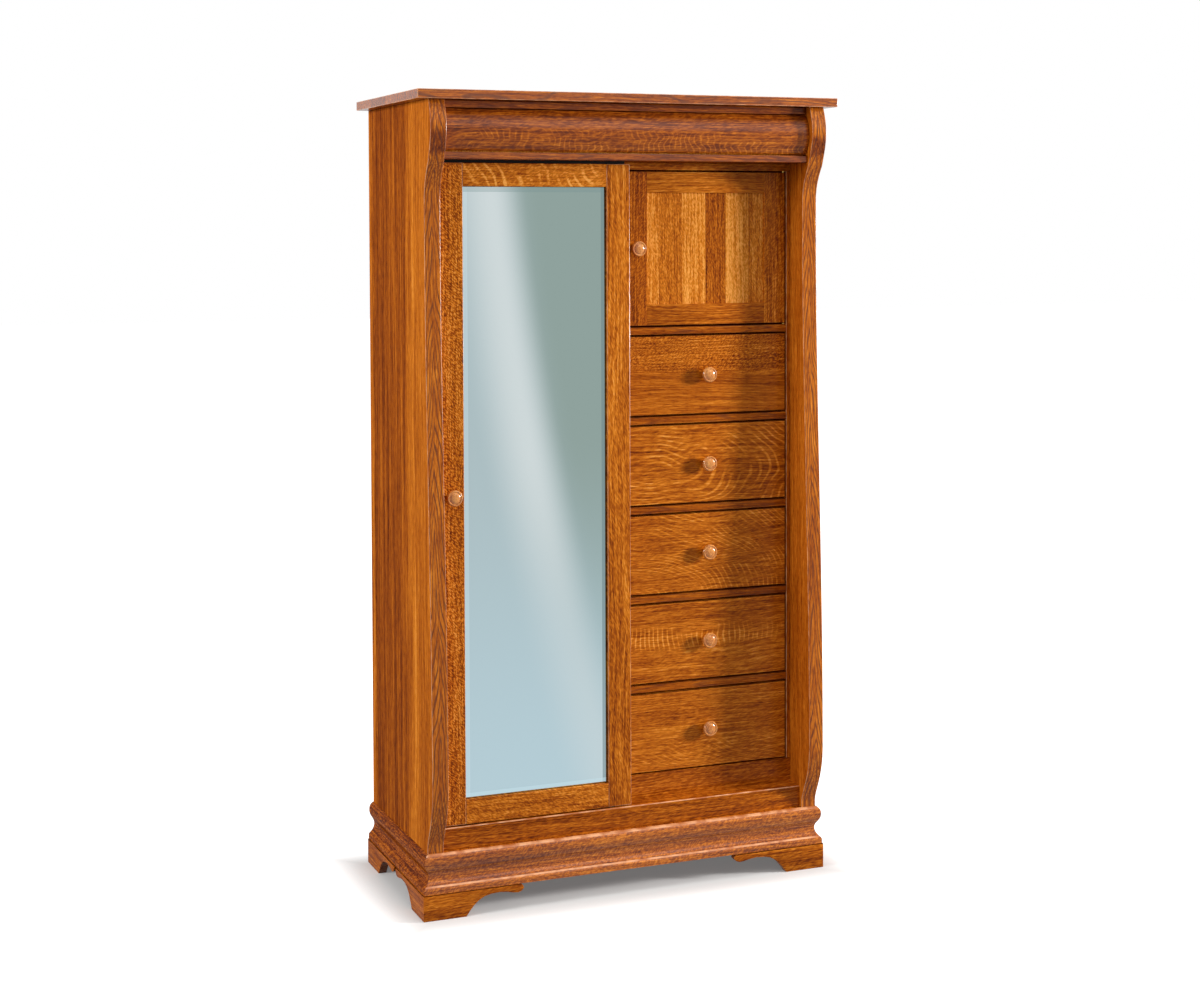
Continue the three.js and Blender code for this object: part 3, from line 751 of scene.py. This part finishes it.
def cut_pocket(piece, low, high):
    """Cuts a square pocket out of a piece."""
    cutter = cut_block("pocket_cutter", low, high)
    bpy.ops.object.mode_set(mode="OBJECT")
    bpy.ops.object.select_all(action="DESELECT")
    bpy.context.view_layer.objects.active = piece
    piece.select_set(True)
    bpy.ops.object.modifier_add(type="BOOLEAN")
    pocket = piece.modifiers[-1]
    pocket.object = cutter
    pocket.operation = "DIFFERENCE"
    pocket.solver = "EXACT"
    bpy.ops.object.modifier_apply(modifier=pocket.name)
    bpy.data.objects.remove(cutter)


mirror_low, mirror_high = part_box("mirror")
seat_gap = 0.0003
pocket_low = mirror_low - Vector((seat_gap, seat_gap, seat_gap))
pocket_high = mirror_high + Vector((seat_gap, 0.01, seat_gap))
left_stile_ticks = {
    "lean": 40,
    "wave": 0.035,
    "wave_grain": (9.0, 10.0, 16.0),
    "length_grain": 135.0,
    "width_grain": 400.0,
    "strength": 0.4,
}
right_stile_ticks = dict(left_stile_ticks, lean=14, length_grain=70.0, strength=0.2)
bottom_rail_ticks = dict(left_stile_ticks, lean=-20, strength=0.24)
top_rail_ticks = dict(left_stile_ticks, lean=20, strength=0.2)
top_rail_ribbons = {
    "spacing": 0.023,
    "lean": 58,
    "swirl": 2.4,
    "swirl_grain": (9.0, 8.0, 16.0),
    "edge": 0.3,
    "patch_grain": (12.0, 12.0, 16.0),
    "strength": 0.34,
}
door_boards = {
    "mirror_door_left_stile": (along_z, 101, 0.02, left_stile_ticks, None),
    "mirror_door_right_stile": (along_z, 102, 0.04, right_stile_ticks, None),
    "mirror_door_top_rail": (along_x, 103, 0.14, top_rail_ticks, top_rail_ribbons),
    "mirror_door_bottom_rail": (along_x, 104, 0.09, bottom_rail_ticks, None),
}
for node, (grain, seed, tone, ticks, ribbons) in door_boards.items():
    plank = cut_block(node + "_finished", *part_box(node))
    ease_edges(plank, 0.0011, arris="worn_highlit" if grain is along_z else "plain")
    bpy.ops.object.mode_set(mode="OBJECT")
    cut_pocket(plank, pocket_low, pocket_high)
    door_oak = stained_oak(
        node + "_oak", middle_of(node), grain, along_y, seed, tone, ticks=ticks, ribbons=ribbons
    )
    hang(plank, "mirror_door", door_oak, node)

# Mirror
# Silvered plate glass with a ground bevel all round, backed by a thin board. Its colour is a painted
# reflection, from grey green at the top to pale blue at the foot, with a painted band of reflected light from
# the upper left to the lower right, and painted light and shade on the bevel.
mirror_bevel_width = 0.0205
mirror_edge_drop = 0.0025
plate = cut_block("mirror_finished", mirror_low, mirror_high)
pick(plate, "faces", lambda face: on_plane(face, 1, mirror_low.y))
bpy.ops.mesh.inset(thickness=mirror_bevel_width)
pick(
    plate,
    "verts",
    lambda point: near(point.co.y, mirror_low.y)
    and (near(point.co.x, mirror_low.x) or near(point.co.x, mirror_high.x)),
)
bpy.ops.transform.translate(value=(0, mirror_edge_drop, 0))
silvering = bpy.data.materials.new("silvered_glass")
shader = Shader(silvering)
glass_place = shader.node("ShaderNodeTexCoord", output="Object")
glass_x, _, glass_z = shader.split(glass_place)
drop = 1.688 - glass_z
reflection_band_middle = -0.335 + drop * 0.11 + drop * drop * 0.07
beside = glass_x - reflection_band_middle
foot_share = drop.rise(0.55, 1.5)
right_reflection_tone = shader.blend(foot_share, tint(143, 162, 157), tint(180, 204, 213))
left_reflection_tone = shader.blend(foot_share, tint(172, 190, 194), tint(181, 205, 214))
painted_reflection_tone = shader.blend(beside.rise(-0.05, 0.12), left_reflection_tone, right_reflection_tone)
# A painted reflection of a soft band of light, fading towards the foot.
band = beside.rise(-0.13, 0.0) * (1.0 - beside.rise(0.0, 0.09)) * (1.0 - drop.rise(0.6, 1.1) * 0.55)
painted_reflection_tone = shader.blend(band, painted_reflection_tone, tint(206, 216, 217))
# Painted light on the left and foot of the bevel, painted shade on its right and head.
lit_bevel_left = 1.0 - glass_x.rise(mirror_low.x + 0.0201, mirror_low.x + 0.0209)
shaded_bevel_right = glass_x.rise(mirror_high.x - 0.0209, mirror_high.x - 0.0201)
lit_bevel_foot = 1.0 - glass_z.rise(mirror_low.z + 0.0201, mirror_low.z + 0.0209)
shaded_bevel_head = glass_z.rise(mirror_high.z - 0.0209, mirror_high.z - 0.0201)
painted_reflection_tone = shader.blend(lit_bevel_left * 0.3, painted_reflection_tone, tint(208, 226, 232))
painted_reflection_tone = shader.blend(shaded_bevel_right * 0.6, painted_reflection_tone, tint(112, 134, 138))
painted_reflection_tone = shader.blend(lit_bevel_foot * 0.5, painted_reflection_tone, tint(196, 222, 230))
painted_reflection_tone = shader.blend(shaded_bevel_head * 0.35, painted_reflection_tone, tint(120, 146, 146))
glass = {"Base Color": painted_reflection_tone, "Metallic": 1.0, "Roughness": 0.06}
glass_finish = shader.node("ShaderNodeBsdfPrincipled", {}, glass)
shader.node("ShaderNodeOutputMaterial", {}, {"Surface": glass_finish})
hang(plate, "mirror_door", silvering, "mirror")

# Knobs
# Seven turned oak knobs, all alike, each with a waisted shank and a domed face inside a raised rim. They
# are screwed on from behind, and the gloss lacquer catches the light round the rim.
knob_radius = 0.019
knob_projection = 0.0245
knob_profile_shares = [
    (0.0, 0.0),
    (0.5, 0.0),
    (0.47, 0.08),
    (0.41, 0.22),
    (0.42, 0.34),
    (0.52, 0.44),
    (0.78, 0.51),
    (0.93, 0.57),
    (0.99, 0.65),
    (1.0, 0.72),
    (0.985, 0.8),
    (0.95, 0.86),
    (0.9, 0.9),
    (0.84, 0.915),
    (0.79, 0.905),
    (0.75, 0.87),
    (0.71, 0.865),
    (0.66, 0.895),
    (0.54, 0.945),
    (0.38, 0.98),
    (0.19, 0.995),
    (0.0, 1.0),
]
knob_turns = 40


def turned_knob(name, seat):
    """The outline drawn from the seat to the middle of the face, and spun round the axis of the knob."""
    bpy.ops.object.select_all(action="DESELECT")
    bpy.ops.mesh.primitive_plane_add(size=1)
    knob = bpy.context.object
    knob.name = name
    bpy.ops.object.mode_set(mode="EDIT")
    pick(knob, "verts", lambda point: point.co.x < 0 or point.co.y < 0)
    bpy.ops.mesh.delete(type="VERT")
    bpy.ops.mesh.select_all(action="SELECT")
    bpy.ops.transform.translate(value=seat - Vector((0.5, 0.5, 0)))
    place = seat
    for out_share, up_share in knob_profile_shares[1:]:
        following = seat + Vector((out_share * knob_radius, -up_share * knob_projection, 0))
        bpy.ops.mesh.extrude_region_move(TRANSFORM_OT_translate={"value": following - place})
        place = following
    bpy.ops.mesh.select_all(action="SELECT")
    bpy.ops.mesh.spin(steps=knob_turns, angle=math.tau, center=seat, axis=(0, 1, 0))
    bpy.ops.mesh.select_all(action="SELECT")
    bpy.ops.mesh.remove_doubles(threshold=1e-6)
    bpy.ops.mesh.normals_make_consistent(inside=False)
    bpy.ops.object.mode_set(mode="OBJECT")
    return knob


def knob_oak(name, middle, seed):
    """Turned oak: growth lines across the domed face, ray flecks between them, under gloss lacquer."""
    material = bpy.data.materials.new(name)
    shader = Shader(material)
    place = grain_place(shader, middle, Vector((0.6, 0.5, 0.62)).normalized(), Vector((0, 0.779, -0.627)).normalized())
    clouds = shader.noise(place, (25.0, 60.0, 60.0), seed)
    lines = shader.noise(place, (60.0, 420.0, 420.0), seed + 1, 3.0)
    level = 0.56 + (clouds - 0.5) * 0.5 + (lines - 0.5) * 0.9
    stain = [
        (0.0, tint(104, 46, 14)),
        (0.4, tint(176, 98, 36)),
        (0.7, tint(218, 144, 66)),
        (1.0, tint(244, 186, 112)),
    ]
    colour = shader.node("ShaderNodeValToRGB", {"stops": stain}, {"Fac": level})
    bump = shader.node("ShaderNodeBump", {}, {"Strength": 0.2, "Distance": 0.0002, "Height": lines})
    surface = {
        "Base Color": colour,
        "Roughness": 0.35,
        "Specular IOR Level": 0.1,
        "Coat Weight": 0.9,
        "Coat Roughness": 0.12,
        "Normal": bump,
    }
    finish = shader.node("ShaderNodeBsdfPrincipled", {}, surface)
    shader.node("ShaderNodeOutputMaterial", {}, {"Surface": finish})
    return material


knob_bodies = {"mirror_door_knob": "mirror_door", "small_door_knob": "small_door"}
knob_bodies.update({f"drawer_{number}_knob": f"drawer_{number}" for number in range(1, 6)})
first_seat = None
for order, (node, body) in enumerate(knob_bodies.items()):
    low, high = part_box(node)
    seat = Vector(((low.x + high.x) / 2, high.y, (low.z + high.z) / 2))
    if first_seat is None:
        knob = turned_knob(node + "_finished", seat)
        first_knob, first_seat = knob, seat
    else:
        knob = first_knob.copy()
        knob.data = first_knob.data.copy()
        knob.name = node + "_finished"
        knob.parent = None
        bpy.context.scene.collection.objects.link(knob)
        bpy.ops.object.select_all(action="DESELECT")
        bpy.context.view_layer.objects.active = knob
        knob.select_set(True)
        bpy.ops.object.mode_set(mode="EDIT")
        bpy.ops.mesh.select_all(action="SELECT")
        bpy.ops.transform.translate(value=seat - first_seat)
    hang(knob, body, knob_oak(node + "_oak", seat, 110 + order), node)

# Guide and glides of the mirror door
# A nylon tongue on top of the door runs in the slot of the crown, and two nylon glides carry it on the
# sill. Moulded plain, matt and dark.
for node in ("door_top_guide", "left_door_glide", "right_door_glide"):
    strip = cut_block(node + "_finished", *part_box(node))
    ease_edges(strip, 0.0005)
    nylon = bpy.data.materials.new(node + "_nylon")
    shader = Shader(nylon)
    place = shader.node("ShaderNodeTexCoord", output="Object")
    mottle = shader.noise(place, (400.0, 400.0, 400.0), 121)
    shade = shader.blend(mottle, tint(14, 12, 11), tint(26, 23, 21))
    surface = {"Base Color": shade, "Roughness": 0.45 + mottle * 0.2, "Specular IOR Level": 0.1}
    nylon_finish = shader.node("ShaderNodeBsdfPrincipled", {}, surface)
    shader.node("ShaderNodeOutputMaterial", {}, {"Surface": nylon_finish})
    hang(strip, "mirror_door", nylon, node)

# Small door
# A frame of two stiles and two rails, mortised and tenoned, round a flat panel let into a groove. The
# panel is glued up from upright boards of different figure, lighter than the frame. It turns on brass pins.
panel_tongue = 0.008
frame_low, frame_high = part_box("small_door_frame")
panel_low, panel_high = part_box("small_door_panel")
opening_low = panel_low + Vector((panel_tongue, 0, panel_tongue))
opening_high = panel_high - Vector((panel_tongue, 0, panel_tongue))
joint_line = 0.0002
frame_stile_ticks = dict(left_stile_ticks, lean=-35, strength=0.2)
frame_rail_ticks = dict(rail_ticks, lean=6, strength=0.1)
small_door_boards = {
    "small_door_left_stile": (
        Vector((frame_low.x, frame_low.y, frame_low.z)),
        Vector((opening_low.x, frame_high.y, frame_high.z)),
        (along_z, 131, -0.07, frame_stile_ticks),
    ),
    "small_door_right_stile": (
        Vector((opening_high.x, frame_low.y, frame_low.z)),
        Vector((frame_high.x, frame_high.y, frame_high.z)),
        (along_z, 132, 0.04, frame_stile_ticks),
    ),
    "small_door_top_rail": (
        Vector((opening_low.x + joint_line, frame_low.y, opening_high.z)),
        Vector((opening_high.x - joint_line, frame_high.y, frame_high.z)),
        (along_x, 133, 0.08, frame_rail_ticks),
    ),
    "small_door_bottom_rail": (
        Vector((opening_low.x + joint_line, frame_low.y, frame_low.z)),
        Vector((opening_high.x - joint_line, frame_high.y, opening_low.z)),
        (along_x, 134, 0.0, frame_rail_ticks),
    ),
}
groove_low = panel_low - Vector((seat_gap, seat_gap, seat_gap))
groove_high = panel_high + Vector((seat_gap, seat_gap, seat_gap))
for name, (low, high, (grain, seed, tone, ticks)) in small_door_boards.items():
    plank = cut_block(name, low, high)
    rim_edges = [(0, frame_high.x), (2, frame_low.z), (2, frame_high.z)]
    on_rim = lambda edge: any(on_plane(edge, axis, place) for axis, place in rim_edges)
    ease_edges(plank, 0.0014, lambda edge: on_plane(edge, 1, frame_low.y) and on_rim(edge), "dark")
    ease_edges(plank, 0.0006, lambda edge: on_plane(edge, 1, frame_low.y) and not on_rim(edge), "plain")
    bpy.ops.object.mode_set(mode="OBJECT")
    cut_pocket(plank, groove_low, groove_high)
    frame_oak = stained_oak(name + "_oak", (low + high) / 2, grain, along_y, seed, tone, ticks=ticks)
    hang(plank, "small_door", frame_oak, "small_door_frame")
panel_ticks = dict(left_stile_ticks, lean=8, strength=0.22)
panel_boards = [
    (-0.16, 0.0),
    (-0.11725, 0.16),
    (-0.05525, -0.22),
    (-0.00025, 0.16),
    (0.06175, -0.14),
    (0.12375, 0.1),
]
small_panel_oak = stained_oak(
    "small_panel_oak",
    middle_of("small_door_panel"),
    along_z,
    along_y,
    135,
    0.18,
    boards=panel_boards,
    bands=0.2,
    ticks=panel_ticks,
    wander=0.02,
)
eased_board("small_door_panel", "small_door", small_panel_oak, 0.0008)
for node in ("small_door_upper_pivot", "small_door_lower_pivot"):
    pin_brass = bpy.data.materials.new(node + "_brass")
    shader = Shader(pin_brass)
    place = shader.node("ShaderNodeTexCoord", output="Object")
    scratches = shader.noise(place, (900.0, 900.0, 60.0), 141)
    surface = {
        "Base Color": shader.blend(scratches, tint(150, 112, 48), tint(206, 168, 92)),
        "Metallic": 1.0,
        "Roughness": 0.25 + scratches * 0.2,
    }
    brass_finish = shader.node("ShaderNodeBsdfPrincipled", {}, surface)
    shader.node("ShaderNodeOutputMaterial", {}, {"Surface": brass_finish})
    dress_node(node, pin_brass)

# Drawers
# Five drawers with flat quarter-sawn fronts, each cut from its own board, so no two figures match. Behind
# each front is a pale oak tray with a thin floor, screwed to it from inside.
drawer_ticks = dict(rail_ticks, lean=8, width_grain=270.0, strength=0.12)
arcs = {"swirl": 1.6, "swirl_grain": (7.0, 6.0, 11.0), "edge": 0.2, "patch_grain": (9.0, 10.0, 22.0)}
drawer_figures = {
    1: (dict(drawer_ticks, lean=24, length_grain=140.0, width_grain=380.0, strength=0.3, band=(0.01, 0.12)), None),
    2: (drawer_ticks, dict(arcs, swirl=3.2, heart=(-0.13, -0.02), squash=0.42, spacing=0.011, strength=0.26)),
    3: (drawer_ticks, dict(arcs, swirl=3.2, heart=(-0.22, -0.16), squash=0.7, spacing=0.0095, strength=0.2)),
    4: (drawer_ticks, dict(arcs, lean=84, swirl=3.0, spacing=0.013, band=(-0.02, 0.03), strength=0.28)),
    5: (drawer_ticks, dict(arcs, lean=18, swirl=3.5, spacing=0.009, band=(-0.12, -0.02), strength=0.14)),
}


def open_tray(node, body, seed, wall=0.012, floor=0.006):
    """A drawer box: the top face is inset by the walls and pushed down to the floor."""
    low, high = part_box(node)
    tray = cut_block(node + "_finished", low, high)
    pick(tray, "faces", lambda face: on_plane(face, 2, high.z))
    bpy.ops.mesh.inset(thickness=wall)
    bpy.ops.mesh.extrude_region_move(TRANSFORM_OT_translate={"value": (0, 0, low.z + floor - high.z)})
    ease_edges(tray, 0.0012, lambda edge: on_plane(edge, 2, high.z))
    tray_oak = stained_oak(
        node + "_oak", middle_of(node), along_y, along_x, seed, 0.3, even_boards(6, 0.09, 0.04), gloss=0.05
    )
    hang(tray, body, tray_oak, node)


for number, (ticks, ribbons) in drawer_figures.items():
    tone = 0.02 if number < 4 else 0.07
    node = f"drawer_{number}_front"
    front_oak = stained_oak(
        f"drawer_{number}_oak",
        middle_of(node),
        along_x,
        along_y,
        150 + 3 * number,
        tone,
        ticks=ticks,
        ribbons=ribbons,
        wander=0.08,
    )
    eased_board(node, f"drawer_{number}", front_oak, 0.0013, arris="dark")
    open_tray(f"drawer_{number}_box", f"drawer_{number}", 170 + number)

# Crown drawer
# The rounded front under the top hides a shallow drawer. It is shaped from one thick board of quarter-sawn
# oak, with no knob: fingers pull it at its lower edge.
bolster_ribbons = {
    "spacing": 0.015,
    "lean": 82,
    "swirl": 4.0,
    "swirl_grain": (7.0, 6.0, 26.0),
    "edge": 0.3,
    "patch_grain": (9.0, 12.0, 30.0),
    "band": (-0.06, 0.0),
    "strength": 0.2,
}
_, bolster_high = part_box("crown_drawer_front")
bolster = traced_bar("crown_drawer_front_finished", 0, section_of("crown_drawer_front", 0, 1, bolster_high.y))
bolster_oak = stained_oak(
    "bolster_oak",
    middle_of("crown_drawer_front"),
    along_x,
    along_y,
    181,
    -0.12,
    ticks=rail_ticks,
    ribbons=bolster_ribbons,
    gloss=0.5,
)
hang(bolster, "crown_drawer", bolster_oak, "crown_drawer_front")
open_tray("crown_drawer_box", "crown_drawer", 182)

# Studio
# A white floor and surroundings, a soft light all round that is brighter in front and above, a key
# light from the right of the front, a fill from the left, and two weaker lamps overhead and in front. The
# floor glows white to the camera, but its glow fades under and close round the case: painted shade there.
bpy.context.scene.view_settings.view_transform = "Standard"
bpy.ops.object.select_all(action="DESELECT")
bpy.ops.mesh.primitive_plane_add(size=60, location=(0, 0, 0))
floor = bpy.context.object
floor.name = "studio_floor"
floor_white = bpy.data.materials.new("floor_white")
shader = Shader(floor_white)
seen = shader.node("ShaderNodeLightPath", output="Is Camera Ray")
mirrored = shader.node("ShaderNodeLightPath", output="Is Glossy Ray")
passed = shader.node("ShaderNodeLightPath", output="Is Transmission Ray")
floor_place = shader.node("ShaderNodeTexCoord", output="Object")
floor_x, floor_y, _ = shader.split(floor_place)
# The glow is weak under the case and comes in over 0.16 m round it, so the floor near the case is painted darker, over
# the case's own shadow.
beside_case = floor_x.maths("ABSOLUTE", floor_x) - 0.52
before_case = floor_y.maths("ABSOLUTE", floor_y) - 0.24
glow_with_painted_shade_near_case = 0.14 + beside_case.maths("MAXIMUM", beside_case, before_case).rise(-0.02, 0.16) * 0.87
glow_strength = seen * glow_with_painted_shade_near_case + (mirrored + passed).rise(0.0, 1.0)
paint_tone = shader.blend(seen, tint(120, 120, 120), tint(200, 198, 196))
paint_tone = shader.blend(mirrored, paint_tone, tint(0, 0, 0))
paint = shader.node("ShaderNodeBsdfDiffuse", {}, {"Color": paint_tone})
glow = shader.node("ShaderNodeEmission", {}, {"Color": (1, 1, 1, 1), "Strength": glow_strength})
floor_finish = shader.node("ShaderNodeAddShader", {}, {0: paint, 1: glow})
shader.node("ShaderNodeOutputMaterial", {}, {"Surface": floor_finish})
floor.data.materials.append(floor_white)

surroundings = bpy.data.worlds.new("surroundings")
bpy.context.scene.world = surroundings
shader = Shader(surroundings)
seen = shader.node("ShaderNodeLightPath", output="Is Camera Ray")
mirrored = shader.node("ShaderNodeLightPath", output="Is Glossy Ray")
passed = shader.node("ShaderNodeLightPath", output="Is Transmission Ray")
shown = (seen + mirrored + passed).rise(0.0, 1.0)
outlook = shader.node("ShaderNodeTexCoord", output="Generated")
_, rearward, upward = shader.split(outlook)
ambient = 0.14 + (1.0 - rearward.rise(-0.4, 0.4)) * 0.06 + upward.rise(0.1, 1.0) * 0.4
strength = ambient * (1.0 - shown) + shown
sky = shader.node("ShaderNodeBackground", {}, {"Color": (1, 1, 1, 1), "Strength": strength})
shader.node("ShaderNodeOutputWorld", {}, {"Surface": sky})


def add_lamp(name, place, aim, size, watts):
    """A square softbox that faces a point."""
    lamp_data = bpy.data.lights.new(name, "AREA")
    lamp_data.shape = "SQUARE"
    lamp_data.size = size
    lamp_data.energy = watts
    lamp = bpy.data.objects.new(name, lamp_data)
    bpy.context.scene.collection.objects.link(lamp)
    look = (Vector(aim) - Vector(place)).to_track_quat("-Z", "Y")
    lamp.matrix_world = Matrix.Translation(place) @ look.to_matrix().to_4x4()


add_lamp("key_lamp", (5.9, -2.7, 2.1), (0.1, 0, 0.95), 1.0, 580)
add_lamp("fill_lamp", (-5.2, -0.8, 2.4), (-0.4, 0, 1.0), 1.6, 220)
add_lamp("top_lamp", (0.1, -1.3, 4.8), (0, 0, 1.2), 1.4, 36)
add_lamp("sheen_lamp", (1.7, -3.8, 3.6), (0, -0.2, 1.7), 2.0, 24)
